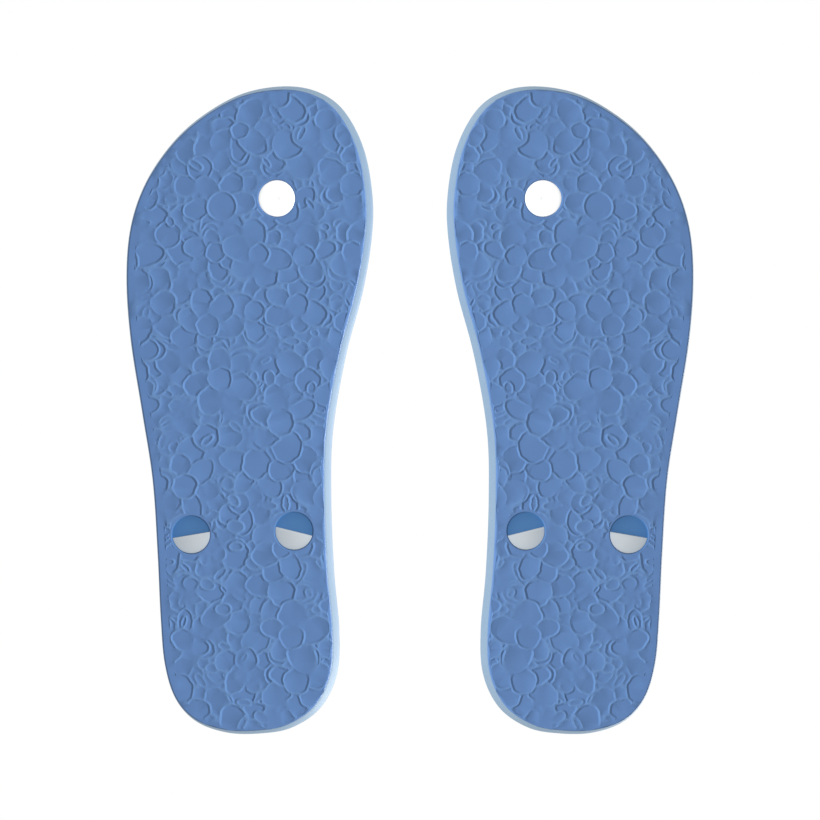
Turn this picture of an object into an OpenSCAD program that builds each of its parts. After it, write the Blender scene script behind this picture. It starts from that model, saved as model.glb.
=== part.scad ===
// A pair of thong sandals (flip flops), standing side by side with their toes towards +Y.
// The right shoe is at +X. The left shoe is its mirror image. The ground is the plane z = 0.
// Each shoe is a laminated foam sole, a moulded Y strap and the fixings that hold the strap.

/* [Sole] */
// Length of the sole from heel to toe
sole_l = 250; // [230:5:280]
// Free space between the two shoes at the balls of the feet
pair_gap = 29; // [10:1:60]
// Thickness of the whole sole under the heel
heel_t = 18.5; // [15:0.5:24]
// Thickness of the whole sole under the ball of the foot
ball_t = 14.5; // [13:0.5:18]
// Thickness of the dark lower layer
outsole_t = 6.5; // [6:0.5:8]
// Thickness of the top layer that the foot stands on
footbed_t = 2.5; // [2:0.5:3]
// Height that the tip of the toe curls up by
toe_spring = 3.5; // [0:0.5:6]
// How far the side walls lean out from the ground to the footbed
wall_lean = 1.6; // [1:0.1:3]
// Extra lean on the arch side, taken from the outer side
arch_lean = 1.1; // [0:0.1:1.5]

/* [Strap] */
// Height of the strap's highest point above the ground
strap_h = 57; // [50:1:70]
// Width of the strap arms over the foot
strap_w = 12.5; // [10:0.5:14]
// Thickness of the strap arms
strap_t = 3.4; // [2.5:0.1:3.4]

/* [Fixings] */
// Diameter of the recess for the toe plug
toe_recess_d = 14.4; // [13:0.2:16]
// Diameter of the two rear recesses
rear_recess_d = 14.8; // [13:0.2:16]
// Depth of the recesses
recess_depth = 4.2; // [3.5:0.1:5]
// Diameter of the toe post
post_d = 6.4; // [5:0.2:8]

/* [Motion] */
// Distance from the tip of the toe back to the line where the sole bends
flex_from_toe = 85; // [75:1:95]

/* [Hidden] */

$fn = 64;
eps = 0.01;

sole_blue = "#6285b4";
sky_blue = "#a9cde3";
strap_white = "#eef0f1";
plug_white = "#ffffff";
anchor_grey = "#c5cbd0";

// Everything in plan grows with the length of the sole.
k = sole_l / 250;
toe_y = sole_l / 2;
heel_y = -sole_l / 2;
flex_y = toe_y - flex_from_toe;

// Where the side profile changes: the toes curl up, and the heel slopes down to the ball.
spring_y = toe_y - 45 * k;
slope_y = heel_y + 60 * k;
slope_run = 130 * k;
// No sole is wider than this.
widest = 110 * k;

// The rim of the footbed of the right shoe: x from the arch side, y from the middle of the sole.
rim_points = [
    [34, 125], [50, 122.2], [65, 114], [77, 103.2], [87.3, 88], [93.2, 71], [94.9, 51],
    [93.3, 27], [88.9, -1], [84.9, -27], [83, -55], [81.8, -80], [80.2, -98], [76, -111.5],
    [68, -120.3], [56, -124.6], [43, -124.9], [31, -122.6], [20, -115], [13.7, -102],
    [12.8, -85], [14.8, -62], [15.9, -34], [15.2, -8], [10.2, 21], [3.6, 46], [0.2, 67],
    [0, 83], [3.4, 101], [11, 115.5], [21, 122.8]
];
steps_per_point = 3;

// Places of the fixings on the right shoe: [x, y, turn about z].
toe_fixing = [36.9 * k, 81.4 * k, 0];
outer_fixing = [69.8 * k, -48 * k, -9.6];
inner_fixing = [30.2 * k, -46.6 * k, 13.8];

plug_inset = 0.4;
plug_gap = 0.15;
anchor_inset = 1.4;
anchor_t = recess_depth - anchor_inset;
slot_w = 11.8;
slot_t = 4;
stem_w = 11;
stem_t = 3.2;
yoke_d = 15;
yoke_t = 4.6;
yoke_gap = 0.3;
// Height of the underside of the strap's yoke above the footbed
post_rise = 12.5;

// ---- Curves ----

// A point on the smooth curve through four points, between the middle two.
function blend4(a, b, c, d, t) =
    0.5 * (2 * b + (c - a) * t + (2 * a - 5 * b + 4 * c - d) * t * t
    + (3 * b - a - 3 * c + d) * t * t * t);

// A closed smooth curve through a ring of points.
function closed_curve(p, steps) = [
    for (i = [0 : len(p) - 1], s = [0 : steps - 1])
        let (n = len(p))
        blend4(p[(i + n - 1) % n], p[i], p[(i + 1) % n], p[(i + 2) % n], s / steps)
];

// An open smooth curve through a row of points or values.
function open_curve(p, steps) = [
    for (i = [0 : len(p) - 2], s = [0 : (i == len(p) - 2 ? steps : steps - 1)])
        let (last = len(p) - 1)
        blend4(p[max(i - 1, 0)], p[i], p[i + 1], p[min(i + 2, last)], s / steps)
];

function unit(v) = v / norm(v);

// A closed outline moved inwards by d. The outline runs clockwise seen from above.
function inset(p, d) = [
    for (i = [0 : len(p) - 1])
        let (n = len(p), along = unit(p[(i + 1) % n] - p[(i + n - 1) % n]))
        p[i] + d * [along.y, -along.x]
];

rim = closed_curve([for (p = rim_points) p * k], steps_per_point);

// The outline of the sole at a share of its height: 1 at the footbed, 0 at the ground.
function sole_outline(share) = [
    for (p = inset(rim, wall_lean * (1 - share))) p + [arch_lean * (1 - share), 0]
];

// ---- Side profile of the sole ----

// Height of the underside above the ground.
function under_z(y) = y < spring_y ? 0 : toe_spring * pow((y - spring_y) / (toe_y - spring_y), 2);

// Thickness of the whole sole: thick under the heel, then an even slope down to the ball.
function ease(t) = let (c = min(max(t, 0), 1)) c * c * (3 - 2 * c);
function sole_t(y) = heel_t + (ball_t - heel_t) * ease((y - slope_y) / slope_run);

function top_z(y) = under_z(y) + sole_t(y);

profile_step = 10 * k;
overrun = 5;
function stations(y0, y1) =
    let (count = ceil((y1 - y0) / profile_step))
    [for (i = [0 : count]) y0 + (y1 - y0) * i / count];

// The space between two layer boundaries, from y0 to y1, across the whole width.
// A boundary is [share of the sole's thickness, extra height].
module layer_space(y0, y1, low, high) {
    ys = stations(y0, y1);
    function height(y, b) = under_z(y) + b[0] * sole_t(y) + b[1];
    outline = concat(
        [for (y = ys) [y, height(y, low)]],
        [for (i = [len(ys) - 1 : -1 : 0]) [ys[i], height(ys[i], high)]]
    );
    rotate([90, 0, 90])
        translate([0, 0, -overrun])
        linear_extrude(widest + 2 * overrun)
        polygon(outline);
}

module sole_layer(share, y0, y1, low, high) {
    intersection() {
        linear_extrude(heel_t + toe_spring + overrun) polygon(sole_outline(share));
        layer_space(y0, y1, low, high);
    }
}

// Shares of the wall's lean at which the straight-sided layers are cut.
outsole_share = 0.15;
midsole_share = 0.7;
footbed_share = 1;

ground = [0, 0];
outsole_top = [0, outsole_t];
footbed_bottom = [1, -footbed_t];
footbed_top = [1, 0];

// ---- Holes for the fixings ----

yoke_z = top_z(toe_fixing.y) + post_rise;

module at_fixing(place) {
    translate([place.x, place.y, 0]) rotate(place.z) children();
}

module recess(d) {
    translate([0, 0, -overrun]) cylinder(h = recess_depth + overrun, d = d);
}

module strap_slot() {
    translate([-slot_w / 2, -slot_t, 0]) cube([slot_w, slot_t, heel_t + overrun]);
}

module rear_cuts() {
    for (place = [outer_fixing, inner_fixing])
        at_fixing(place) {
            recess(rear_recess_d);
            strap_slot();
        }
}

module toe_cuts() {
    at_fixing(toe_fixing) {
        recess(toe_recess_d);
        cylinder(h = ball_t + toe_spring + overrun, d = post_d + 2 * plug_gap);
    }
}

// ---- The sole, in three layers, each in a heel part and a toe part ----

module heel_part(share, low, high) {
    difference() {
        sole_layer(share, heel_y - overrun, flex_y, low, high);
        rear_cuts();
    }
}

module toe_part(share, low, high) {
    difference() {
        sole_layer(share, flex_y, toe_y + overrun, low, high);
        toe_cuts();
    }
}

module outsole_heel() { color(sole_blue) heel_part(outsole_share, ground, outsole_top); }
module outsole_toe() { color(sole_blue) toe_part(outsole_share, ground, outsole_top); }
module midsole_heel() { color(sky_blue) heel_part(midsole_share, outsole_top, footbed_bottom); }
module midsole_toe() { color(sky_blue) toe_part(midsole_share, outsole_top, footbed_bottom); }
module footbed_heel() { color(sky_blue) heel_part(footbed_share, footbed_bottom, footbed_top); }
module footbed_toe() { color(sky_blue) toe_part(footbed_share, footbed_bottom, footbed_top); }

// ---- Fixings ----

module toe_plug() {
    color(plug_white)
        at_fixing(toe_fixing)
        translate([0, 0, plug_inset])
        cylinder(h = recess_depth - plug_inset, d = toe_recess_d - 2 * plug_gap);
}

module toe_post() {
    color(plug_white)
        at_fixing(toe_fixing)
        translate([0, 0, recess_depth])
        cylinder(h = yoke_z - yoke_gap - recess_depth, d = post_d);
}

// A half-round plate behind the strap's stem, with its straight edge to the front.
module anchor(place) {
    color(anchor_grey)
        at_fixing(place)
        translate([0, 0, anchor_inset])
        intersection() {
            cylinder(h = anchor_t, d = rear_recess_d - 2 * plug_gap);
            translate([-rear_recess_d, -2 * rear_recess_d, -eps])
                cube([2 * rear_recess_d, 2 * rear_recess_d, anchor_t + 2 * eps]);
        }
}

// ---- Strap ----

// The stem of an arm stands in its slot, behind the anchor's straight edge.
function stem_point(place, z) =
    [place.x + slot_t / 2 * sin(place.z), place.y - slot_t / 2 * cos(place.z), z];

heel_top = top_z(outer_fixing.y);

// Where the middle of each arm runs, from its stem to the yoke.
outer_route = [
    stem_point(outer_fixing, recess_depth),
    stem_point(outer_fixing, heel_top),
    [71.5 * k, -42 * k, heel_top + 12],
    [74.5 * k, -25 * k, strap_h - 12.5],
    [75.5 * k, -3 * k, strap_h - 6],
    [71.5 * k, 22 * k, strap_h - 7.5],
    [61 * k, 49 * k, strap_h - 15],
    [48 * k, 69 * k, yoke_z + 5.2],
    [38.4 * k, 80 * k, yoke_z + 2.2]
];
inner_route = [
    stem_point(inner_fixing, recess_depth),
    stem_point(inner_fixing, heel_top),
    [28.3 * k, -40.5 * k, heel_top + 12.5],
    [25 * k, -24 * k, strap_h - 8.5],
    [23 * k, -2 * k, strap_h - 2.2],
    [23 * k, 23 * k, strap_h - 4],
    [26.5 * k, 50 * k, strap_h - 13],
    [32 * k, 69 * k, yoke_z + 5.2],
    [36.3 * k, 80 * k, yoke_z + 2.2]
];
// Tilt of the arm's face about its own run, in degrees, where positive lowers its outer edge.
outer_tilt = [0, 0, 8, 30, 42, 36, 22, 10, 4];
inner_tilt = [0, 0, -6, -24, -34, -28, -16, -8, -4];
// Width and thickness along each arm, as shares of the strap's own.
arm_width = [0.88, 0.88, 0.9, 0.96, 1, 1, 0.94, 0.78, 0.56];
arm_thick = [0.94, 0.94, 0.98, 1, 1, 1, 1, 1, 1];
arm_steps = 2;
section_sides = 10;
// The arm turns from its slot's direction to straight ahead over this many rings.
turn_rings = 8;
// How square the arm's section is across and up: 1 is an ellipse and 0 a box.
across_power = 0.6;
up_power = 0.8;

// One ring of the arm: a flattened oval, square to the run.
function arm_ring(p, along, across, w, t) =
    let (level = unit(across - (across * along) * along), up = cross(level, along))
    [for (i = [0 : section_sides - 1])
        let (a = 360 * (i + 0.5) / section_sides, c = cos(a), s = sin(a))
        p + level * (w / 2 * sign(c) * pow(abs(c), across_power))
        + up * (t / 2 * sign(s) * pow(abs(s), up_power))];

module strap_arm(route, tilt, turn0) {
    p = open_curve(route, arm_steps);
    lean = open_curve(tilt, arm_steps);
    w = open_curve(arm_width * strap_w, arm_steps);
    t = open_curve(arm_thick * strap_t, arm_steps);
    last = len(p) - 1;
    rings = [for (i = [0 : last])
        let (
            along = unit(p[min(i + 1, last)] - p[max(i - 1, 0)]),
            turn = turn0 * max(0, 1 - i / turn_rings),
            across = [cos(turn) * cos(lean[i]), sin(turn) * cos(lean[i]), -sin(lean[i])]
        )
        i < 2
            ? arm_ring(p[i], [0, 0, 1], [cos(turn0), sin(turn0), 0], stem_w, stem_t)
            : arm_ring(p[i], along, across, w[i], t[i])];
    n = section_sides;
    polyhedron(
        points = [for (r = rings, q = r) q],
        faces = concat(
            [[for (j = [n - 1 : -1 : 0]) j]],
            [[for (j = [0 : n - 1]) last * n + j]],
            [for (i = [0 : last - 1], j = [0 : n - 1])
                let (a = i * n + j, b = i * n + (j + 1) % n)
                each [[a, b, a + n], [b, b + n, a + n]]]
        )
    );
}

module strap() {
    color(strap_white) {
        strap_arm(outer_route, outer_tilt, outer_fixing.z);
        strap_arm(inner_route, inner_tilt, inner_fixing.z);
        at_fixing(toe_fixing) translate([0, 0, yoke_z]) cylinder(h = yoke_t, d = yoke_d, $fn = 40);
    }
}

// ---- The two shoes ----

module right() { translate([pair_gap / 2, 0, 0]) children(); }
module left() { mirror([1, 0, 0]) right() children(); }

right() outsole_heel();  // right_outsole_heel
right() outsole_toe();  // right_outsole_toe
right() midsole_heel();  // right_midsole_heel
right() midsole_toe();  // right_midsole_toe
right() footbed_heel();  // right_footbed_heel
right() footbed_toe();  // right_footbed_toe
right() strap();  // right_strap
right() toe_post();  // right_toe_post
right() toe_plug();  // right_toe_plug
right() anchor(outer_fixing);  // right_outer_anchor
right() anchor(inner_fixing);  // right_inner_anchor
left() outsole_heel();  // left_outsole_heel
left() outsole_toe();  // left_outsole_toe
left() midsole_heel();  // left_midsole_heel
left() midsole_toe();  // left_midsole_toe
left() footbed_heel();  // left_footbed_heel
left() footbed_toe();  // left_footbed_toe
left() strap();  // left_strap
left() toe_post();  // left_toe_post
left() toe_plug();  // left_toe_plug
left() anchor(outer_fixing);  // left_outer_anchor
left() anchor(inner_fixing);  // left_inner_anchor
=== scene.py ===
# %% [markdown]
# # A pair of flip flops
# A flip flop is a foam sole with a Y-shaped strap. The strap's three ends go down through the sole and
# are held in round recesses in its underside. The underside is a rubber tread, embossed all over with
# open flowers with raised edges, and it is what this scene looks at: the camera lies below.
#
# Every size is in millimetres and belongs to the right shoe, with x from the arch edge towards the outer
# edge, y from the middle of the sole towards the toes and z up from the ground. One function at the end
# of each piece places it twice, as the right shoe and as its mirror image.

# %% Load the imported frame
import math
import random

import bmesh
import bpy
import numpy as np
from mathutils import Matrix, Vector
from mathutils.geometry import delaunay_2d_cdt


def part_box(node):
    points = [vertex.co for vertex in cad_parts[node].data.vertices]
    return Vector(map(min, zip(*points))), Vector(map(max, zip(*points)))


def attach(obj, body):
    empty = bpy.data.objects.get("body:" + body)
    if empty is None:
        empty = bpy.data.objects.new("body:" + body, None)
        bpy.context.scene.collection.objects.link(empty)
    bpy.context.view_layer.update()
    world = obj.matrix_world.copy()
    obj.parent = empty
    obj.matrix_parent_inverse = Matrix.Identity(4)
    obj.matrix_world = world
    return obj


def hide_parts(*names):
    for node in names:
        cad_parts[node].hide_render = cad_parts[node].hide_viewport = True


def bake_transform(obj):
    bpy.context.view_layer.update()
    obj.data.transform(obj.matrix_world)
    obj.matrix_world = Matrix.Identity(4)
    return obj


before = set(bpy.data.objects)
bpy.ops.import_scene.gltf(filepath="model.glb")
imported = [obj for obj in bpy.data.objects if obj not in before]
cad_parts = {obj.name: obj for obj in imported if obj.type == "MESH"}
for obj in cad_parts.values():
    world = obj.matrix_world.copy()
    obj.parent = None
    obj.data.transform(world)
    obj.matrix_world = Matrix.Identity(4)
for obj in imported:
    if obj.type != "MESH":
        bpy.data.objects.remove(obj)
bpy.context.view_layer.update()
print("CAD nodes:", len(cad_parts))

# %% [markdown]
# ## Sizes
# The frame gives the sizes that it can: how far apart the shoes stand, how long and how thick the sole is
# and where its layers meet. The outline of the footbed is a closed curve through listed points,
# since no formula gives the shape of a foot.

# %% Sizes from the frame
MM = 0.001
SIDES = {"right": 1, "left": -1}


def corners(node):
    """Lowest and highest corner of a CAD node, in millimetres."""
    low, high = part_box(node)
    return np.array(low) / MM, np.array(high) / MM


arch_edge = corners("right_footbed_toe")[0][0]
toe_y = corners("right_footbed_toe")[1][1]
flex_y = corners("right_footbed_toe")[0][1]
heel_t = corners("right_footbed_heel")[1][2]
outsole_t = corners("right_outsole_heel")[1][2]
print(f"arch edge {arch_edge:.1f}, half length {toe_y:.1f}, flex line {flex_y:.1f}, heel {heel_t:.1f} mm")

# %% The side profile
BALL_T = 14.5
FOOTBED_T = 2.5
TOE_SPRING = 3.5
SPRING_Y = 80
SLOPE_Y = (-65, 65)


def ease(t):
    """Goes smoothly from 0 to 1 as t does."""
    t = np.clip(t, 0, 1)
    return t * t * (3 - 2 * t)


def ground(y):
    """Height of the underside: flat, then curling up under the toes."""
    rise = np.clip((y - SPRING_Y) / (125 - SPRING_Y), 0, None)
    return TOE_SPRING * rise**2


def top(y):
    """Height of the rim of the footbed: a thick heel that slopes down to the ball of the foot."""
    share = (y - SLOPE_Y[0]) / (SLOPE_Y[1] - SLOPE_Y[0])
    return ground(y) + heel_t + (BALL_T - heel_t) * ease(share)


print("thickness at heel, middle and toe:", [round(float(top(y)), 1) for y in (-120, 0, 70)])

# %% The outline
RIM_POINTS = np.array([
    (34, 125), (50, 122.2), (65, 114), (77, 103.2), (87.3, 88), (93.2, 71), (94.9, 51), (93.3, 27),
    (88.9, -1), (84.9, -27), (83, -55), (81.8, -80), (80.2, -98), (76, -111.5), (68, -120.3),
    (56, -124.6), (43, -124.9), (31, -122.6), (20, -115), (13.7, -102), (12.8, -85), (14.8, -62),
    (15.9, -34), (15.2, -8), (10.2, 21), (3.6, 46), (0.2, 67), (0, 83), (3.4, 101), (11, 115.5),
    (21, 122.8),
])
WALL_LEAN = 1.6
ARCH_LEAN = 1.1


def curve(points, steps, closed=False):
    """A smooth curve through the points, with that many steps from each to the next."""
    p = np.array(points, float)
    if closed:
        p = np.concatenate([p[-1:], p, p[:2]])
    else:
        p = np.concatenate([p[:1], p, p[-1:]])
    t = (np.arange(steps) / steps).reshape(-1, *[1] * (p.ndim - 1))
    parts = [
        0.5 * (2 * b + (c - a) * t + (2 * a - 5 * b + 4 * c - d) * t**2 + (3 * b - a - 3 * c + d) * t**3)
        for a, b, c, d in zip(p, p[1:], p[2:], p[3:])
    ]
    return np.concatenate(parts if closed else [*parts, p[-1:]])


def outward(loop):
    """The directions square to a clockwise loop, away from its inside."""
    along = np.roll(loop, -1, axis=0) - np.roll(loop, 1, axis=0)
    along /= np.linalg.norm(along, axis=1, keepdims=True)
    return np.stack([-along[:, 1], along[:, 0]], axis=1)


rim = curve(RIM_POINTS, 8, closed=True)
rim_out = outward(rim)
arch_x = arch_edge - rim[:, 0].min()


def sole_loop(share, pull=0.0):
    """The outline at a share of the wall's lean, 0 at the ground and 1 at the footbed, pulled in by pull."""
    lean = 1 - share
    return rim - rim_out * (WALL_LEAN * lean + np.asarray(pull)[..., None]) + [ARCH_LEAN * lean, 0]


print("outline:", len(rim), "points, width", round(float(np.ptp(rim[:, 0])), 1), "mm")

# %% [markdown]
# ## Closed shells
# Each layer of the sole is a closed shell: two flat faces, the wall round its edge and the walls of its
# holes. A constrained Delaunay triangulation fills a face between its loops, and takes in any other lines
# that the face has to follow, such as the raised lines of the tread. So every crease lies on an edge of the
# mesh and stays sharp, and the flat parts cost almost nothing.

# %% Build closed shells from loops
def inside(points, loop):
    """Which points lie inside a closed loop."""
    a, b = loop, np.roll(loop, -1, axis=0)
    x, y = points[:, :1], points[:, 1:]
    spans = (a[:, 1] > y) != (b[:, 1] > y)
    rise = np.where(b[:, 1] == a[:, 1], 1, b[:, 1] - a[:, 1])
    crossing = a[:, 0] + (y - a[:, 1]) * (b[:, 0] - a[:, 0]) / rise
    return (spans & (x < crossing)).sum(axis=1) % 2 == 1


class Shell:
    """Points and faces of a piece, in millimetres."""

    def __init__(self):
        self.points, self.faces = [], []

    def loop(self, plan, z):
        first = len(self.points)
        self.points += np.column_stack([plan, np.broadcast_to(z, len(plan))]).tolist()
        return list(range(first, first + len(plan)))

    def wall(self, loops):
        """Joins each loop to the next with a band of quads."""
        for low, high in zip(loops, loops[1:]):
            n = len(low)
            self.faces += [(low[i], low[(i + 1) % n], high[(i + 1) % n], high[i]) for i in range(n)]

    def cap(self, loops, height, plan=(), lines=()):
        """Fills the first loop, round the holes that the other loops are. plan holds more points,
        joined by lines."""
        ring = [i for loop in loops for i in loop]
        spots = [Vector(self.points[i][:2]) for i in ring] + [Vector(p) for p in plan]
        edges, first = [], 0
        for loop in loops:
            edges += [(first + i, first + (i + 1) % len(loop)) for i in range(len(loop))]
            first += len(loop)
        edges += [(first + a, first + b) for a, b in lines]
        out, _, faces, origin, _, _ = delaunay_2d_cdt(spots, edges, [], 0, 1e-5, True)
        out, faces = np.array(out), np.array(faces)
        centre = out[faces].mean(axis=1)
        shapes = [np.array([self.points[i][:2] for i in loop]) for loop in loops]
        keep = inside(centre, shapes[0])
        for shape in shapes[1:]:
            keep &= ~inside(centre, shape)
        faces = faces[keep]
        ids = np.full(len(out), -1)
        for k, sources in enumerate(origin):
            on_ring = [s for s in sources if s < first]
            if on_ring:
                ids[k] = ring[on_ring[0]]
        fresh = np.setdiff1d(np.unique(faces), np.flatnonzero(ids >= 0))
        ids[fresh] = len(self.points) + np.arange(len(fresh))
        self.points += np.column_stack([out[fresh], height(out[fresh])]).tolist()
        self.faces += [tuple(f) for f in ids[faces].tolist()]


# %% [markdown]
# ## Two shoes from one set of points
# Every piece is placed as it lies on the right shoe and mirrored on the left one. A foam sole bends over
# a few centimetres at the ball of the foot, so a layer that crosses the flex line is one mesh. The strap
# stands high above that line and would kink in so short a stretch.

# %% Place a piece on both shoes
SOLE_BEND = (-8, 24)


def place(
    name, points, faces, material, nodes, bodies, crease=30, second=None, wear_and_highlight=None
):
    """Makes a piece for each shoe. It rides on one body, or, when it spans two across the flex line, is left
    in place with no parent. second is another material and, for each face, whether it takes it. The last
    argument is how pale each point is coloured, from 0 to 1: partly wear, partly a painted highlight."""
    for side, sign in SIDES.items():
        spots = np.array(points, float) + [arch_x, 0, 0]
        spots[:, 0] *= sign
        mesh = bpy.data.meshes.new(f"{side}_{name}")
        mesh.from_pydata((spots * MM).tolist(), [], faces)
        shaped = bmesh.new()
        shaped.from_mesh(mesh)
        bmesh.ops.recalc_face_normals(shaped, faces=shaped.faces)
        shaped.to_mesh(mesh)
        shaped.free()
        mesh.shade_smooth()
        mesh.set_sharp_from_angle(angle=math.radians(crease))
        mesh.materials.append(material)
        if second:
            mesh.materials.append(second[0])
            mesh.polygons.foreach_set("material_index", np.array(second[1], dtype=np.int32))
        if wear_and_highlight is not None:
            wear = mesh.attributes.new("wear_and_highlight", "FLOAT", "POINT")
            wear.data.foreach_set("value", np.array(wear_and_highlight, dtype=np.float32))
        piece = bpy.data.objects.new(f"{side}_{name}", mesh)
        bpy.context.scene.collection.objects.link(piece)
        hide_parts(*[f"{side}_{n}" for n in nodes])
        if len(bodies) == 1:
            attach(piece, f"{side}_{bodies[0]}")
        else:
            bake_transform(piece)
    print(f"{name}: {len(points)} points, {len(faces)} faces a shoe")


# %% [markdown]
# ## Materials
# All of the pair is polymer, and what tells the pieces apart is how each was made. The tread is blown
# rubber pressed in a mould, with a dull, faintly mottled skin. The midsole and the footbed are EVA foam,
# paler, with fine closed cells. The strap and its plug are soft PVC, moulded against polished steel, and
# so a little glossier. Real grain and foam cells are too fine to show here, so they are drawn 0.35 to
# 0.6 mm across, which still breaks up the shine. One function turns hex colours to linear ones, and
# another adds a node.

# %% Helpers for materials
def linear(code):
    """An sRGB hex colour as a linear colour."""
    parts = [int(code[i : i + 2], 16) / 255 for i in (1, 3, 5)]
    return (*[c / 12.92 if c <= 0.04045 else ((c + 0.055) / 1.055) ** 2.4 for c in parts], 1)


def add_node(tree, kind, settings=(), links=()):
    """Adds a node. settings are inputs or properties by name, and links are inputs and what feeds them."""
    node = tree.nodes.new(kind)
    for name, value in dict(settings).items():
        if isinstance(name, str) and hasattr(node, name):
            setattr(node, name, value)
        else:
            node.inputs[name].default_value = value
    for name, source in dict(links).items():
        tree.links.new(source, node.inputs[name])
    return node


def per_mm(size):
    """The scale of a texture whose features are size millimetres across, on coordinates in metres."""
    return 1 / (size * MM)


def polymer(
    name, dark, light, mottle_mm, grain_mm, grain_depth_mm, roughness, ior=1.5, cells=False, wear_and_highlight_colour=None
):
    """A moulded polymer: mottled between two colours, with a fine grain or foam cells on its skin.
    The last argument is the colour mixed in where the piece is paler: partly wear, partly a painted
    highlight."""
    material = bpy.data.materials.new(name)
    material.use_nodes = True
    tree = material.node_tree
    shader = tree.nodes["Principled BSDF"]
    place_in = add_node(tree, "ShaderNodeTexCoord").outputs["Object"]
    mottle = add_node(
        tree, "ShaderNodeTexNoise",
        {"Scale": per_mm(mottle_mm), "Detail": 4.0, "Roughness": 0.6}, {"Vector": place_in},
    )
    colour = add_node(
        tree, "ShaderNodeMix",
        {"data_type": "RGBA", 6: linear(dark), 7: linear(light)}, {0: mottle.outputs["Fac"]},
    )
    # Paler where the mesh's attribute says: partly wear, partly a painted highlight on the crests.
    if wear_and_highlight_colour:
        wear_and_highlight = add_node(tree, "ShaderNodeAttribute", {"attribute_name": "wear_and_highlight"})
        colour = add_node(
            tree, "ShaderNodeMix",
            {"data_type": "RGBA", 7: linear(wear_and_highlight_colour)}, {0: wear_and_highlight.outputs["Fac"], 6: colour.outputs[2]},
        )
    if cells:
        grain = add_node(tree, "ShaderNodeTexVoronoi", {"Scale": per_mm(grain_mm)}, {"Vector": place_in})
        skin = grain.outputs["Distance"]
    else:
        grain = add_node(
            tree, "ShaderNodeTexNoise", {"Scale": per_mm(grain_mm), "Detail": 3.0}, {"Vector": place_in}
        )
        skin = grain.outputs["Fac"]
    dull = add_node(
        tree, "ShaderNodeMapRange",
        {"To Min": roughness - 0.08, "To Max": roughness + 0.08}, {"Value": mottle.outputs["Fac"]},
    )
    bump = add_node(
        tree, "ShaderNodeBump", {"Strength": 1.0, "Distance": grain_depth_mm * MM}, {"Height": skin}
    )
    tree.links.new(colour.outputs[2], shader.inputs["Base Color"])
    tree.links.new(dull.outputs["Result"], shader.inputs["Roughness"])
    tree.links.new(bump.outputs["Normal"], shader.inputs["Normal"])
    shader.inputs["IOR"].default_value = ior
    return material


# %% The materials of the pair
# The last colour is the crests' paler colour: partly wear, partly a painted highlight.
tread_rubber = polymer(
    "blown_rubber_pressed", "#4c6e9d", "#5576a7", 14, 0.35, 0.012, 0.55, ior=1.52, wear_and_highlight_colour="#587ba9"
)
# Painted shade: a darker copy of the tread rubber, standing in for the shade inside the recesses.
recess_painted_shade = polymer("blown_rubber_in_shade", "#3d6a98", "#4470a0", 14, 0.35, 0.006, 0.6, ior=1.52)
midsole_eva = polymer("eva_foam_moulded", "#a8c8e3", "#b7d3ec", 9, 0.45, 0.03, 0.6, cells=True)
footbed_eva = polymer("eva_foam_footbed", "#9cc1dc", "#adcee6", 12, 0.5, 0.03, 0.65, cells=True)
strap_pvc = polymer("pvc_injection_moulded", "#e6eaec", "#f3f5f6", 20, 0.6, 0.01, 0.36, ior=1.53)
plug_pvc = polymer("pvc_plug_white", "#f6f7f7", "#fdfdfd", 10, 0.5, 0.006, 0.4, ior=1.53)
# Painted shade: the anchors are coloured grey, darker than the white strap and plug, for the shade deep in
# their recesses.
anchor_painted_shade = polymer("anchor_grey_painted_shade", "#a7aeb4", "#b3babf", 8, 0.4, 0.01, 0.45, ior=1.51)
print("materials:", [m.name for m in bpy.data.materials])

# %% [markdown]
# ## The tread's pattern
# The tread is embossed with open flowers, thrown over one another: a round middle with five to seven broad
# petals, and a raised line round every plate. A plate is a centre and a radius that varies with the angle,
# so one function measures how deep a point lies inside any of them. The plates are laid down one after
# another and the later ones cover parts of the earlier ones, which leaves arcs and corners, with scraps of
# leaf between them. The raised lines fade in and out along their way, as they do in a worn mould.

# %% Plates of the pattern
PATTERN_SEED = 11
RIDGE = 0.5
ANGLES = np.linspace(0, 2 * math.pi, 721)
# How many waves run round a plate's edge, and how far each may push it, as a share of the radius.
WOBBLE = ((2, 0.05), (3, 0.05), (5, 0.035), (8, 0.025), (13, 0.012))
LARGEST_STEEP = 1.5


def any_way(dice):
    """A random direction."""
    return dice.uniform(0, 2 * math.pi)


def plate_shape(kind, turn, dice):
    """The radius of a plate at each angle, as a share of its largest, and how steeply its edge runs."""
    a = ANGLES - turn
    if kind == "petal":
        wide = dice.uniform(0.6, 0.85)
        radius = wide / np.sqrt((wide * np.cos(a)) ** 2 + np.sin(a) ** 2)
    elif kind == "sliver":
        radius = 0.42 / np.sqrt((0.42 * np.cos(a)) ** 2 + np.sin(a) ** 2)
    elif kind == "shard":
        part = 2 * math.pi / dice.choice([4, 5, 6])
        radius = 1 / np.cos(a % part - part / 2)
    else:
        radius = np.ones_like(a)
    for waves, most in WOBBLE:
        radius = radius * (1 + dice.uniform(0, most) * np.cos(waves * a + any_way(dice)))
    radius /= radius.max()
    slope = np.gradient(radius, ANGLES) / radius
    return radius, np.minimum(np.sqrt(1 + slope**2), LARGEST_STEEP)


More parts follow.
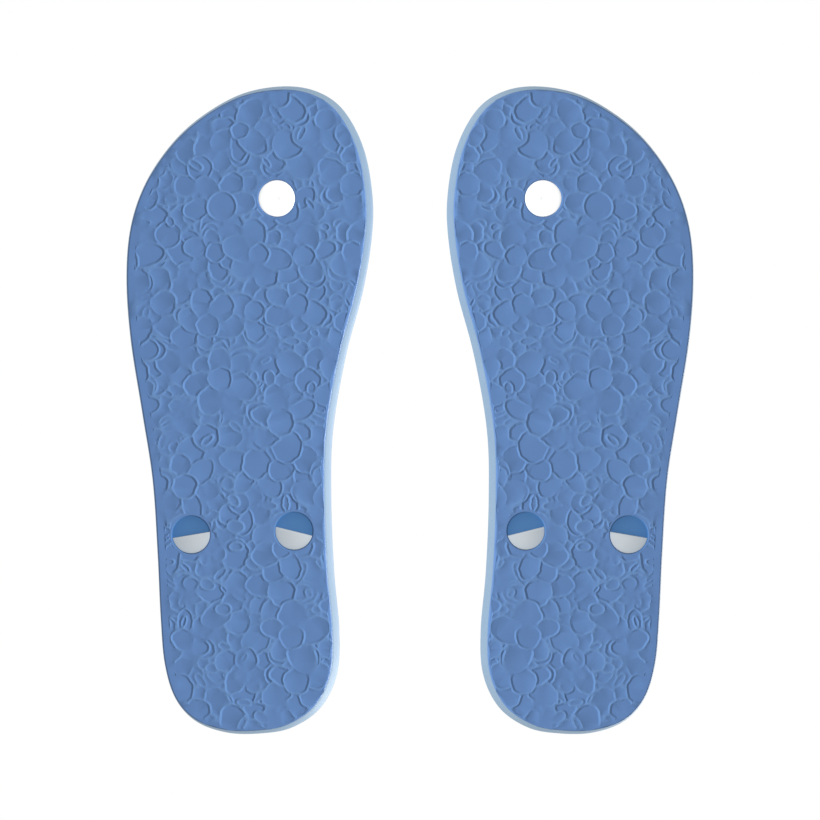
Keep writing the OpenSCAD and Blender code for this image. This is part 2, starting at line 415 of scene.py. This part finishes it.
class Plate:
    """A plate of the pattern. Its edge is a raised line, with flanks that fall off on both sides."""

    def __init__(self, kind, centre, size, level, turn, dice):
        self.centre, self.size, self.level = np.array(centre), size, level
        self.radius, self.steep = plate_shape(kind, turn, dice)
        self.flank = min(0.85, 0.3 * size + 0.2) * dice.uniform(0.85, 1.1)
        self.tilt = np.array([dice.uniform(-0.03, 0.03), dice.uniform(-0.02, 0.02)])

    def depth_in(self, points):
        """How far each point lies inside the plate's edge, negative outside."""
        to = points - self.centre
        angle = np.arctan2(to[:, 1], to[:, 0]) % (2 * math.pi)
        edge = self.size * np.interp(angle, ANGLES, self.radius)
        return (edge - np.hypot(to[:, 0], to[:, 1])) / np.interp(angle, ANGLES, self.steep)

    def ring(self, offset, spacing):
        """Points round the plate, that far outside its edge."""
        count = max(10, round(2 * math.pi * self.size / spacing))
        angle = np.arange(count) * 2 * math.pi / count
        edge = self.size * np.interp(angle, ANGLES, self.radius)
        reach = edge + offset * np.interp(angle, ANGLES, self.steep)
        return self.centre + reach[:, None] * np.column_stack([np.cos(angle), np.sin(angle)])


# %% Throw the flowers over the sole
# The share of the petals with an echo, a second one just inside, and how far each plate lies below its line.
ECHO = 0.45
PETAL_LEVELS, SCRAP_LEVELS, MIDDLE_LEVEL = (-0.46, -0.3), (-0.4, -0.2), -0.44
UNDERLAY_APART, FLOWERS_APART, SCRAPS_APART = 6, 16.5, 6


def spread(dice, apart, tries):
    """Random places over the sole, none closer to the next than apart."""
    spots = np.empty((0, 2))
    for _ in range(tries):
        spot = [dice.uniform(-2, 97), dice.uniform(-127, 127)]
        if not len(spots) or np.hypot(*(spots - spot).T).min() > apart:
            spots = np.vstack([spots, spot])
    return spots


def flower(dice, spot):
    """The petals of a flower and, last, its middle."""
    count, core, turn = dice.choice([5, 6, 6, 7]), dice.uniform(3.8, 6.4), any_way(dice)
    petals = []
    for k in range(count):
        way = turn + 2 * math.pi * k / count + dice.uniform(-0.15, 0.15)
        out = np.array([math.cos(way), math.sin(way)])
        size = dice.uniform(4.8, 7.2)
        at = spot + (core + size * dice.uniform(0.35, 0.6)) * out
        petals.append(Plate("petal", at, size, dice.uniform(*PETAL_LEVELS), way, dice))
        if dice.random() < ECHO:
            at = at - dice.uniform(1.5, 2.2) * out
            petals.append(Plate("petal", at, size * 0.96, dice.uniform(*PETAL_LEVELS), way, dice))
    dice.shuffle(petals)
    return [*petals, Plate("disc", spot, core, MIDDLE_LEVEL, 0, dice)]


def small_plates(dice, kinds, sizes, spots):
    """A plate of a random kind and size at each spot."""
    small = []
    for spot in spots:
        kind, size, level = dice.choice(kinds), dice.uniform(*sizes), dice.uniform(*SCRAP_LEVELS)
        small.append(Plate(kind, spot, size, level, any_way(dice), dice))
    return small


dice = random.Random(PATTERN_SEED)
plates = small_plates(dice, ["shard", "disc", "petal"], (2.4, 4.4), spread(dice, UNDERLAY_APART, 2500))
for spot in spread(dice, FLOWERS_APART, 3000):
    plates += flower(dice, spot)
scraps = small_plates(dice, ["petal", "sliver", "sliver"], (1.6, 3.4), spread(dice, SCRAPS_APART, 4000))
for scrap in scraps:
    plates.insert(dice.randrange(len(plates) // 5, len(plates) * 4 // 5), scrap)
print(f"{len(plates)} plates, {len(scraps)} of them scraps")
FADES = [(any_way(dice), dice.uniform(8, 24), any_way(dice)) for _ in range(7)]


def standing(points):
    """How much of their height the raised lines have at each point."""
    total = sum(
        np.sin((points @ [math.cos(turn), math.sin(turn)]) * 2 * math.pi / length + start)
        for turn, length, start in FADES
    )
    return np.clip(0.95 + 0.14 * total, 0.5, 1)


# %% [markdown]
# ## The tread
# The outsole is one shell. Its lower face takes the plates' edges as lines, and everything lies above the
# ground, so that the raised lines stand on it. Their crests are coloured a little paler: partly wear, since
# they rub first, and partly a painted highlight. Along the outer edge the mould leaves a smooth band, and on
# the arch side the plates run over the edge, which is wavy there. The three recesses are cut 4.2 mm deep,
# and their walls and floors are coloured darker as painted shade.

# %% Where the fixings go
TOE_FIXING = (36.9, 81.4)
TOE_RECESS_R, REAR_RECESS_R, POST_HOLE_R = 7.2, 7.4, 3.35
RECESS_DEPTH = 4.2
REAR_FIXINGS = {"outer": ((69.8, -48.0), -9.6), "inner": ((30.2, -46.6), 13.8)}
SLOT_W, SLOT_T = 11.8, 4.0
RECESSES = [(TOE_FIXING, TOE_RECESS_R), *((f[0], REAR_RECESS_R) for f in REAR_FIXINGS.values())]
HOLE_STEPS = 56
print(len(RECESSES), "recesses a shoe")


def circle(centre, radius, count=HOLE_STEPS):
    """Points round a circle, clockwise from +x."""
    angle = -np.arange(count) * 2 * math.pi / count
    return np.array(centre) + radius * np.column_stack([np.cos(angle), np.sin(angle)])


def turned(plan, fixing):
    """Points about a rear fixing, turned with it."""
    (x, y), degrees = fixing
    c, s = math.cos(math.radians(degrees)), math.sin(math.radians(degrees))
    return np.array(plan) @ np.array([[c, s], [-s, c]]) + [x, y]


def slot_loop(fixing, grow=0.0):
    """The strap's slot, with round ends, behind the middle of its recess."""
    angle = -np.arange(HOLE_STEPS) * 2 * math.pi / HOLE_STEPS
    w, t = SLOT_W / 2 + grow, SLOT_T / 2 + grow
    x, y = np.cos(angle), np.sin(angle)
    plan = np.column_stack([w * np.sign(x) * np.abs(x) ** 0.5, t * np.sign(y) * np.abs(y) ** 0.5])
    return turned(plan - [0, SLOT_T / 2], fixing)


# %% The height of the tread
RIM_LEVEL = -0.3
COLLAR = 0.8
# How far below the crests the paler colour reaches: partly wear, partly a painted highlight.
WEAR_AND_HIGHLIGHT_DEPTH = 0.22
ARCH_BAND, OUTER_BAND, EDGE_WAVE = 0.75, 2.1, 0.22
smooth_side = ease((rim_out[:, 0] - 0.1) / 0.7)
wave_at = np.arange(len(rim))
waves = np.sin(wave_at * 1.9) + np.sin(wave_at * 1.13 + 1) + np.sin(wave_at * 0.71)
edge_wave = (1 - smooth_side) * EDGE_WAVE * waves
field_loop = sole_loop(0, ARCH_BAND + edge_wave + OUTER_BAND * smooth_side)


def relief(points):
    """Height of the pattern at each point: 0 on the highest lines and negative on the plates."""
    crest = -RIDGE * (1 - standing(points))
    level = np.full(len(points), -RIDGE / 2)
    for p in plates:
        here = np.flatnonzero((np.abs(points - p.centre) < p.size + 1.2).all(axis=1))
        if not len(here):
            continue
        depth = p.depth_in(points[here])
        floor = p.level + (points[here] - p.centre) @ p.tilt
        beside = np.where(depth >= 0, floor, level[here])
        share = np.clip(np.abs(depth) / p.flank, 0, 1)
        level[here] = crest[here] + (beside - crest[here]) * share
    return np.minimum(level, 0)


def hole_distance(points):
    """How far each point lies outside the nearest recess."""
    return np.min([np.hypot(*(points - c).T) - r for c, r in RECESSES], axis=0)


def tread_height(points):
    """Height of the tread above the ground plane, in place."""
    level = relief(points)
    level[~inside(points, field_loop)] = RIM_LEVEL
    level[hole_distance(points) < COLLAR * 1.05] = RIM_LEVEL
    return ground(points[:, 1]) - level


# %% The lines that the tread's mesh follows
LINE_SPACING = 0.55
RIM_CLEARANCE, COLLAR_CLEARANCE, PLATE_CLEARANCE = 0.35, 0.3, 0.05


def near(others, plate):
    """Those of the other plates that may touch this one or its edge."""
    reach = plate.size + 2
    return [o for o in others if (np.abs(o.centre - plate.centre) < o.size + reach).all()]


def pattern_lines():
    """Points along the crests and the feet of the raised lines that show, and the lines that join them."""
    points, lines = [], []
    for k, p in enumerate(plates):
        over = near(plates[k + 1 :], p)
        for offset in (-p.flank, 0.0, p.flank):
            ring = p.ring(offset, LINE_SPACING)
            clear = inside(ring, field_clear) & (hole_distance(ring) > COLLAR + COLLAR_CLEARANCE)
            for later in over:
                clear &= later.depth_in(ring) < -later.flank - PLATE_CLEARANCE
            first = len(points)
            where = np.cumsum(clear) - 1
            points += ring[clear].tolist()
            follow = clear & np.roll(clear, -1)
            lines += [
                (first + where[i], first + where[(i + 1) % len(ring)]) for i in np.flatnonzero(follow)
            ]
    return points, lines


field_clear = field_loop - outward(field_loop) * RIM_CLEARANCE
pattern, pattern_edges = pattern_lines()
print(len(pattern), "points along the pattern")

# %% Build the outsole
BEND_ROWS, BEND_COLUMNS, BEND_INSET = 2.5, 6.0, 4


def bend_points():
    """Points over the stretch that bends. A hidden face needs them, or its long flat triangles would cut
    across the bend and come out through the layer above."""
    rows = np.arange(flex_y + SOLE_BEND[0] - 3, flex_y + SOLE_BEND[1] + 4, BEND_ROWS)
    spots = np.array([(x, y) for y in rows for x in np.arange(1, 96, BEND_COLUMNS)])
    return spots[inside(spots, rim - rim_out * BEND_INSET)].tolist()


def ring_at(shell, share, pull, base, lift):
    """A loop of the wall at a height above a curve such as ground or top."""
    plan = sole_loop(share, pull)
    return shell.loop(plan, base(plan[:, 1]) + lift)


def closed_lines(count, first):
    """The lines that join count points, from number first on, into a loop."""
    return [(first + i, first + (i + 1) % count) for i in range(count)]


def hole_wall(shell, steps):
    """A hole from the lower face to the upper one. steps are (loop, base curve, lift)."""
    loops = [shell.loop(plan, base(plan[:, 1]) + lift) for plan, base, lift in steps]
    shell.wall(loops)
    return loops


outsole = Shell()
wall = [
    ring_at(outsole, 0, 0.5 + edge_wave, ground, -RIM_LEVEL),
    ring_at(outsole, 0, 0.2 + edge_wave / 2, ground, 0.45),
    ring_at(outsole, 0, 0.0, ground, 0.95),
    ring_at(outsole, 0.04, 0.0, ground, outsole_t - 0.35),
    ring_at(outsole, 0.04, 0.35, ground, outsole_t),
]
outsole.wall(wall)
mouths = []
for centre, radius in RECESSES:
    fixing = next((f for f in REAR_FIXINGS.values() if f[0] == centre), None)
    through = slot_loop(fixing) if fixing else circle(centre, POST_HOLE_R)
    mouths.append(hole_wall(outsole, [
        (circle(centre, radius + 0.3), ground, -RIM_LEVEL),
        (circle(centre, radius + 0.08), ground, -RIM_LEVEL + 0.12),
        (circle(centre, radius), ground, -RIM_LEVEL + 0.35),
        (circle(centre, radius), ground, RECESS_DEPTH - 0.25),
        (circle(centre, radius - 0.25), ground, RECESS_DEPTH),
        (through, ground, RECESS_DEPTH),
        (through, ground, outsole_t),
    ]))
extra, extra_edges = list(pattern), list(pattern_edges)
for loop in [field_loop, *(circle(c, r + COLLAR) for c, r in RECESSES)]:
    extra_edges += closed_lines(len(loop), len(extra))
    extra += loop.tolist()
outsole.cap([wall[0], *[m[0] for m in mouths]], tread_height, extra, extra_edges)
outsole.cap([wall[-1], *[m[-1] for m in mouths]], lambda p: ground(p[:, 1]) + outsole_t, bend_points())
middles = np.array([np.mean([outsole.points[i] for i in f], axis=0) for f in outsole.faces])
ROUNDED_EDGE = 0.7
above = middles[:, 2] - ground(middles[:, 1])
# Faces inside a recess, above its rounded mouth, take the darker rubber: painted shade.
in_recess = (hole_distance(middles[:, :2]) < 0.05) & (above > ROUNDED_EDGE)
spots = np.array(outsole.points)
# Colour paler towards the crests of the raised lines: partly wear, partly a painted highlight.
wear_and_highlight = np.clip(1 - (spots[:, 2] - ground(spots[:, 1])) / WEAR_AND_HIGHLIGHT_DEPTH, 0, 1)
place("outsole", outsole.points, outsole.faces, tread_rubber,
      ["outsole_heel", "outsole_toe"], ["heel", "toe"],
      crease=22, second=(recess_painted_shade, in_recess), wear_and_highlight=wear_and_highlight)

# %% [markdown]
# ## The midsole and the footbed
# The midsole is a foam wedge whose wall leans out, and from below it shows as a pale band beside the tread.
# The footbed is the skin that the foot stands on. It has a rounded rim and a shallow dish, and small domes
# all over the dish that stop the foot from sliding.

# %% Build the midsole
def midsole_base(y):
    """Height of the midsole's lower face, which lies on the outsole."""
    return ground(y) + outsole_t


def midsole_top(y):
    """Height of its upper face, under the footbed."""
    return top(y) - FOOTBED_T


def between(share):
    """The curve at that share of the way from the lower face to the upper one."""
    return lambda y: midsole_base(y) + share * (midsole_top(y) - midsole_base(y))


midsole = Shell()
wall = [ring_at(midsole, 0.08, 0.4, midsole_base, 0)]
for share, lean in ((0.05, 0.1), (0.2, 0.3), (0.4, 0.56), (0.6, 0.78), (0.8, 0.92), (0.95, 0.98)):
    wall.append(ring_at(midsole, lean, 0.0, between(share), 0))
wall.append(ring_at(midsole, 0.98, 0.3, midsole_top, 0))
midsole.wall(wall)
holes = []
for plan in [circle(TOE_FIXING, POST_HOLE_R)] + [slot_loop(f) for f in REAR_FIXINGS.values()]:
    holes.append(hole_wall(midsole, [(plan, midsole_base, 0), (plan, midsole_top, 0)]))
midsole.cap([wall[0], *[h[0] for h in holes]], lambda p: midsole_base(p[:, 1]), bend_points())
midsole.cap([wall[-1], *[h[-1] for h in holes]], lambda p: midsole_top(p[:, 1]), bend_points())
place("midsole", midsole.points, midsole.faces, midsole_eva,
      ["midsole_heel", "midsole_toe"], ["heel", "toe"])

# %% Build the footbed
DISH_DEPTH = 0.9
DISH_RUN = 8.0
DOME_R, DOME_H, DOME_PITCH = 1.25, 0.4, 4.4
DOME_SIDES = 12
RIM_TO_DOME, POST_TO_DOME, SLOT_TO_DOME = 7.5, 7, 10


def edge_distance(points, loop):
    """How far each point lies from a closed loop."""
    best = np.full(len(points), np.inf)
    for start, step in zip(loop, np.roll(loop, -1, axis=0) - loop):
        t = np.clip(((points - start) @ step) / (step @ step), 0, 1)
        best = np.minimum(best, np.hypot(*(points - start - t[:, None] * step).T))
    return best


def dish(points):
    """Height of the footbed without its domes."""
    sunk = DISH_DEPTH * ease((edge_distance(points, rim) - 1.2) / DISH_RUN)
    return top(points[:, 1]) - sunk


def dome_centres():
    """A staggered grid of domes, clear of the rim and of the fixings."""
    rows = np.arange(-125, 126, DOME_PITCH * math.sqrt(0.75))
    columns = np.arange(0, 96, DOME_PITCH)
    grid = np.array([(x + DOME_PITCH / 2 * (k % 2), y) for k, y in enumerate(rows) for x in columns])
    grid = grid[inside(grid, rim)]
    clear = edge_distance(grid, rim) > RIM_TO_DOME
    clear &= np.hypot(*(grid - TOE_FIXING).T) > POST_TO_DOME
    for (x, y), _ in REAR_FIXINGS.values():
        clear &= np.hypot(grid[:, 0] - x, grid[:, 1] - y + SLOT_T / 2) > SLOT_TO_DOME
    return grid[clear]


domes = dome_centres()
dome_plan, dome_lines = [], []
for centre in domes:
    for share in (1.0, 0.75, 0.4):
        dome_lines += closed_lines(DOME_SIDES, len(dome_plan))
        dome_plan += circle(centre, DOME_R * share, DOME_SIDES).tolist()


def footbed_height(points):
    """Height of the footbed with its domes, which are round on top."""
    away = np.min([np.hypot(points[:, 0] - x, points[:, 1] - y) for x, y in domes], axis=0)
    return dish(points) + DOME_H * np.clip(1 - (away / DOME_R) ** 2, 0, 1)


footbed = Shell()
wall = [
    ring_at(footbed, 0.98, 0.3, midsole_top, 0),
    ring_at(footbed, 1, 0.0, midsole_top, 0.3),
    ring_at(footbed, 1, 0.0, top, -1.1),
    ring_at(footbed, 1, 0.12, top, -0.6),
    ring_at(footbed, 1, 0.45, top, -0.2),
    ring_at(footbed, 1, 1.1, top, 0),
]
footbed.wall(wall)
holes = []
for hole in ["toe", *REAR_FIXINGS]:
    fixing = REAR_FIXINGS.get(hole)
    plans = [slot_loop(fixing, g) if fixing else circle(TOE_FIXING, POST_HOLE_R + g) for g in (0, 0.1, 0.5)]
    loops = [
        footbed.loop(plans[0], midsole_top(plans[0][:, 1])),
        footbed.loop(plans[1], dish(plans[1]) - 0.4),
        footbed.loop(plans[2], dish(plans[2])),
    ]
    footbed.wall(loops)
    holes.append(loops)
rows = [sole_loop(1, 1.2 + d) for d in (0.8, 2.0, 3.5, 5.0, 7.0)]
dome_edges, plan = list(dome_lines), list(dome_plan)
for loop in rows:
    dome_edges += closed_lines(len(loop), len(plan))
    plan += loop.tolist()
footbed.cap([wall[0], *[h[0] for h in holes]], lambda p: midsole_top(p[:, 1]), bend_points())
footbed.cap([wall[-1], *[h[-1] for h in holes]], footbed_height, plan, dome_edges)
place("footbed", footbed.points, footbed.faces, footbed_eva,
      ["footbed_heel", "footbed_toe"], ["heel", "toe"], crease=40)
print(len(domes), "domes a shoe")

# %% [markdown]
# ## The strap
# The strap is one moulding: two arms that meet in a yoke above the toe post. Each arm is a profile swept
# along a curve, with a raised bead along both edges. The arms and the yoke are then fused by a voxel remesh
# and smoothed, which gives the soft fillets of a moulding where they meet.

# %% The arms' route
STRAP_W, STRAP_T = 12.5, 3.4
yoke_z = float(top(TOE_FIXING[1])) + 12.5
rear_top = float(top(REAR_FIXINGS["outer"][0][1]))
ROUTES = {
    "outer": [(71.5, -42, rear_top + 12), (74.5, -25, 44.5), (75.5, -3, 51), (71.5, 22, 49.5),
              (61, 49, 42), (48, 69, yoke_z + 5.2), (38.4, 80, yoke_z + 2.2)],
    "inner": [(28.3, -40.5, rear_top + 12.5), (25, -24, 48.5), (23, -2, 54.8), (23, 23, 53),
              (26.5, 50, 44), (32, 69, yoke_z + 5.2), (36.3, 80, yoke_z + 2.2)],
}
TILTS = {"outer": [0, 0, 8, 30, 42, 36, 22, 10, 4], "inner": [0, 0, -6, -24, -34, -28, -16, -8, -4]}
WIDTHS = np.array([0.88, 0.88, 0.9, 0.96, 1, 1, 0.94, 0.78, 0.56]) * STRAP_W
THICKNESSES = np.array([0.94, 0.94, 0.98, 1, 1, 1, 1, 1, 1]) * STRAP_T
print(f"the yoke starts {yoke_z:.1f} mm and the slots {rear_top:.1f} mm above the ground")


def stem(fixing):
    """The two ends of a stem, in its slot."""
    x, y = turned([(0, -SLOT_T / 2)], fixing)[0]
    return [(x, y, RECESS_DEPTH), (x, y, rear_top)]


def arm_profile():
    """The section of an arm, in half widths and half thicknesses: flat below, with beads above."""
    across = np.linspace(-1, 1, 25)
    bead = np.exp(-(((np.abs(across) - 0.8) / 0.11) ** 2))
    fall = np.clip((1 - np.abs(across)) / 0.12, 0, 1) ** 0.5
    above = (0.5 + 0.16 * (1 - across**2) + 0.42 * bead) * fall
    under = -1 * np.clip((1 - np.abs(across)) / 0.1, 0, 1) ** 0.5
    upper = np.column_stack([across, above])[::-1]
    lower = np.column_stack([across, under])[1:-1]
    return np.concatenate([upper, lower])


def unit(v):
    """The direction of v."""
    return v / np.linalg.norm(v)


def arm(which, steps=8):
    """One arm as points and faces."""
    fixing = REAR_FIXINGS[which]
    route = curve(stem(fixing) + ROUTES[which], steps)
    tilt = np.radians(curve(TILTS[which], steps))
    width, thickness = curve(WIDTHS, steps), curve(THICKNESSES, steps)
    profile = arm_profile()
    shell, loops = Shell(), []
    for i, point in enumerate(route):
        along = unit(route[min(i + 1, len(route) - 1)] - route[max(i - 1, 0)])
        turn = math.radians(fixing[1]) * max(0.0, 1 - i / (4 * steps))
        flat = math.cos(tilt[i])
        across = np.array([math.cos(turn) * flat, math.sin(turn) * flat, -math.sin(tilt[i])])
        level = unit(across - (across @ along) * along)
        up = np.cross(level, along)
        half_w, half_t = width[i] / 2, thickness[i] / 2
        ring = point + np.outer(profile[:, 0] * half_w, level) + np.outer(profile[:, 1] * half_t, up)
        loops.append(shell.loop(ring[:, :2], ring[:, 2]))
    shell.wall(loops)
    shell.faces += [tuple(reversed(loops[0])), tuple(loops[-1])]
    return shell


def lathe(shell, centre, profile, count=48):
    """A turned solid from (radius, height) pairs. A radius of 0 closes it."""
    loops, ends = [], []
    for radius, z in profile:
        if radius == 0:
            shell.points.append([*centre, z])
            ends.append(len(shell.points) - 1)
        else:
            loops.append(shell.loop(circle(centre, radius, count), z))
    shell.wall(loops)
    for end, loop in zip(ends, (loops[0], loops[-1])):
        shell.faces += [(end, loop[i], loop[(i + 1) % count]) for i in range(count)]


# %% Fuse the arms and the yoke
VOXEL = 0.5
parts = [arm("outer"), arm("inner")]
yoke = Shell()
lathe(yoke, TOE_FIXING, [
    (0, yoke_z), (5.2, yoke_z), (6.8, yoke_z + 0.5), (7.4, yoke_z + 1.6), (7.2, yoke_z + 3.0),
    (6.2, yoke_z + 4.1), (4.4, yoke_z + 4.8), (2.0, yoke_z + 5.1), (0, yoke_z + 5.2),
])
parts.append(yoke)


def fuse(shells, voxel, smoothing):
    """One smooth skin round several overlapping shells, as points and faces."""
    mesh = bpy.data.meshes.new("fused")
    points, faces = [], []
    for s in shells:
        faces += [tuple(i + len(points) for i in f) for f in s.faces]
        points += s.points
    mesh.from_pydata(points, [], faces)
    shaped = bmesh.new()
    shaped.from_mesh(mesh)
    bmesh.ops.recalc_face_normals(shaped, faces=shaped.faces)
    shaped.to_mesh(mesh)
    shaped.free()
    solid = bpy.data.objects.new("fused", mesh)
    bpy.context.scene.collection.objects.link(solid)
    remesh = solid.modifiers.new("skin", "REMESH")
    remesh.mode, remesh.voxel_size = "VOXEL", voxel
    smooth = solid.modifiers.new("smooth", "SMOOTH")
    smooth.factor, smooth.iterations = 0.5, smoothing
    done = solid.evaluated_get(bpy.context.evaluated_depsgraph_get()).to_mesh()
    points = np.array([v.co for v in done.vertices])
    faces = [tuple(p.vertices) for p in done.polygons]
    bpy.data.objects.remove(solid)
    bpy.data.meshes.remove(mesh)
    return points, faces


strap_points, strap_faces = fuse(parts, VOXEL, 4)
place("y_strap", strap_points, strap_faces, strap_pvc, ["strap"], ["heel", "toe"], crease=180)

# %% [markdown]
# ## The fixings
# The toe post and its plug are turned shapes. The plug fills its recess, almost flush with the tread. The
# rear anchors are half-round plates behind the stems, deeper in their recesses, so that in front of
# each straight edge the floor of the recess shows. Their grey, darker than the white plug, is painted shade
# of those deep recesses.

# %% Toe post and plug
post = Shell()
lathe(post, TOE_FIXING, [
    (0, RECESS_DEPTH), (3.2, RECESS_DEPTH), (3.2, yoke_z - 6), (3.3, yoke_z - 4), (3.8, yoke_z - 2),
    (4.8, yoke_z - 0.7), (5.4, yoke_z), (0, yoke_z),
])
place("post", post.points, post.faces, strap_pvc, ["toe_post"], ["toe"])
plug_r = TOE_RECESS_R - 0.12
plug = Shell()
lathe(plug, TOE_FIXING, [
    (0, 0.42), (0.7, 0.42), (0.95, 0.3), (3.0, 0.3), (5.0, 0.34), (plug_r - 0.7, 0.42), (plug_r - 0.25, 0.6),
    (plug_r, 1.0), (plug_r, RECESS_DEPTH - 0.1), (0, RECESS_DEPTH - 0.1),
])
place("button_plug", plug.points, plug.faces, plug_pvc, ["toe_plug"], ["toe"])

# %% Rear anchors
ANCHOR_INSET = 1.4


def half_disc(fixing, radius, pull):
    """A half disc behind its straight edge, pulled in all round."""
    reach = radius - pull
    start = math.asin(pull / reach)
    angle = np.linspace(math.pi + start, 2 * math.pi - start, 40)
    return turned(np.column_stack([reach * np.cos(angle), reach * np.sin(angle)]), fixing)


for name, fixing in REAR_FIXINGS.items():
    anchor = Shell()
    steps = [(0.5, 0), (0.15, 0.12), (0, 0.5), (0, RECESS_DEPTH - ANCHOR_INSET - 0.1)]
    loops = []
    for pull, lift in steps:
        plan = half_disc(fixing, REAR_RECESS_R - 0.15, pull)
        loops.append(anchor.loop(plan, ANCHOR_INSET + lift))
    anchor.wall(loops)
    anchor.faces += [tuple(reversed(loops[0])), tuple(loops[-1])]
    # The anchor's grey colour is painted shade of its recess.
    place(f"{name}_anchor_plate", anchor.points, anchor.faces, anchor_painted_shade,
          [f"{name}_anchor"], ["heel"])

# %% [markdown]
# ## Light, floor and camera
# The camera looks straight up at the soles from far below, so that both are seen almost without perspective.
# The floor shows only from above. Low light from between the shoes brings out the raised lines, with a
# white room round both.

# %% The white room
world = bpy.data.worlds.new("white_room")
bpy.context.scene.world = world
world.use_nodes = True
tree = world.node_tree
ROOM_LIGHT = 0.55
path = add_node(tree, "ShaderNodeLightPath")
strength = add_node(
    tree, "ShaderNodeMapRange",
    {"To Min": ROOM_LIGHT, "To Max": 1.0}, {"Value": path.outputs["Is Camera Ray"]},
)
room = tree.nodes["Background"]
room.inputs["Color"].default_value = (1, 1, 1, 1)
tree.links.new(strength.outputs["Result"], room.inputs["Strength"])
print(f"the room lights the pair at {ROOM_LIGHT:.0%} of the white that shows behind it")

# %% The floor
floor_mesh = bpy.data.meshes.new("floor")
FLOOR_HALF = 4.0
FLOOR_Z = -0.0004
quarters = ((-1, -1), (1, -1), (1, 1), (-1, 1))
floor_mesh.from_pydata([(x * FLOOR_HALF, y * FLOOR_HALF, FLOOR_Z) for x, y in quarters], [], [(0, 1, 2, 3)])
floor = bpy.data.objects.new("floor", floor_mesh)
bpy.context.scene.collection.objects.link(floor)
pale = bpy.data.materials.new("pale_floor")
pale.use_nodes = True
tree = pale.node_tree
shader = tree.nodes["Principled BSDF"]
shader.inputs["Base Color"].default_value = linear("#e9eaec")
shader.inputs["Roughness"].default_value = 0.9
facing = add_node(tree, "ShaderNodeNewGeometry")
clear = add_node(tree, "ShaderNodeBsdfTransparent")
mix = add_node(
    tree, "ShaderNodeMixShader", {},
    {0: facing.outputs["Backfacing"], 1: shader.outputs[0], 2: clear.outputs[0]},
)
tree.links.new(mix.outputs[0], tree.nodes["Material Output"].inputs["Surface"])
floor_mesh.materials.append(pale)
floor.visible_diffuse = False
floor.visible_glossy = False
floor.visible_transmission = False
floor.visible_shadow = False
print(f"floor: {2 * FLOOR_HALF:.0f} m square, and clear from below")

# %% Lamps
def lamp(name, spot, aim, size, watts, only=None):
    """A square soft lamp that faces aim. only names the pieces that it lights, and then it
    casts no shadows or highlights."""
    data = bpy.data.lights.new(name, "AREA")
    data.size, data.energy = size, watts
    light = bpy.data.objects.new(name, data)
    bpy.context.scene.collection.objects.link(light)
    light.location = spot
    light.rotation_euler = (Vector(aim) - Vector(spot)).to_track_quat("-Z", "Y").to_euler()
    if only:
        data.use_shadow = False
        light.visible_glossy = False
        lit = bpy.data.collections.new(f"{name}_lights")
        for piece in only:
            lit.objects.link(bpy.data.objects[piece])
        light.light_linking.receiver_collection = lit
    return light


KEY_LIT = {"tread": (75, ["outsole", "button_plug", "outer_anchor_plate", "inner_anchor_plate"]),
           "wall": (12.5, ["midsole", "footbed"])}
LOW_ANGLE, TURN = math.radians(28), math.radians(2)
KEY_FAR = 2.2
for side, sign in SIDES.items():
    middle = sign * (arch_x + 50) * MM
    reach = KEY_FAR * math.cos(LOW_ANGLE)
    spot = (middle - sign * reach * math.cos(TURN), reach * math.sin(TURN), -KEY_FAR * math.sin(LOW_ANGLE))
    for lit, (watts, pieces) in KEY_LIT.items():
        lamp(f"{side}_{lit}_key", spot, (middle, 0, 0), 0.7, watts, [f"{side}_{p}" for p in pieces])
lamp("overhead", (-0.9, -0.5, 1.3), (0, 0, 0), 0.8, 14)
lamp("front_fill", (0.9, 1.2, 1.1), (0, 0, 0), 1.0, 3)
print(len(bpy.data.lights), "lamps")

# %% Camera
# The frame is this many sole lengths wide.
FRAME_IN_SOLES = 820 / 648
SOLE_L = 250
FRAME_W = FRAME_IN_SOLES * SOLE_L * MM
CAMERA_FAR = 4.0
MIDDLE_Z = 0.012
camera_data = bpy.data.cameras.new("camera")
camera = bpy.data.objects.new("camera", camera_data)
bpy.context.scene.collection.objects.link(camera)
camera.location = (0, 0, -CAMERA_FAR)
camera.rotation_euler = (0, math.pi, 0)
camera_data.sensor_width = 36
camera_data.lens = camera_data.sensor_width * (CAMERA_FAR + MIDDLE_Z) / FRAME_W
camera_data.clip_start, camera_data.clip_end = 0.1, 50
bpy.context.scene.camera = camera
bpy.context.scene.view_settings.view_transform = "Standard"
print(f"camera: {CAMERA_FAR:.0f} m below the soles, lens {camera_data.lens:.0f} mm")
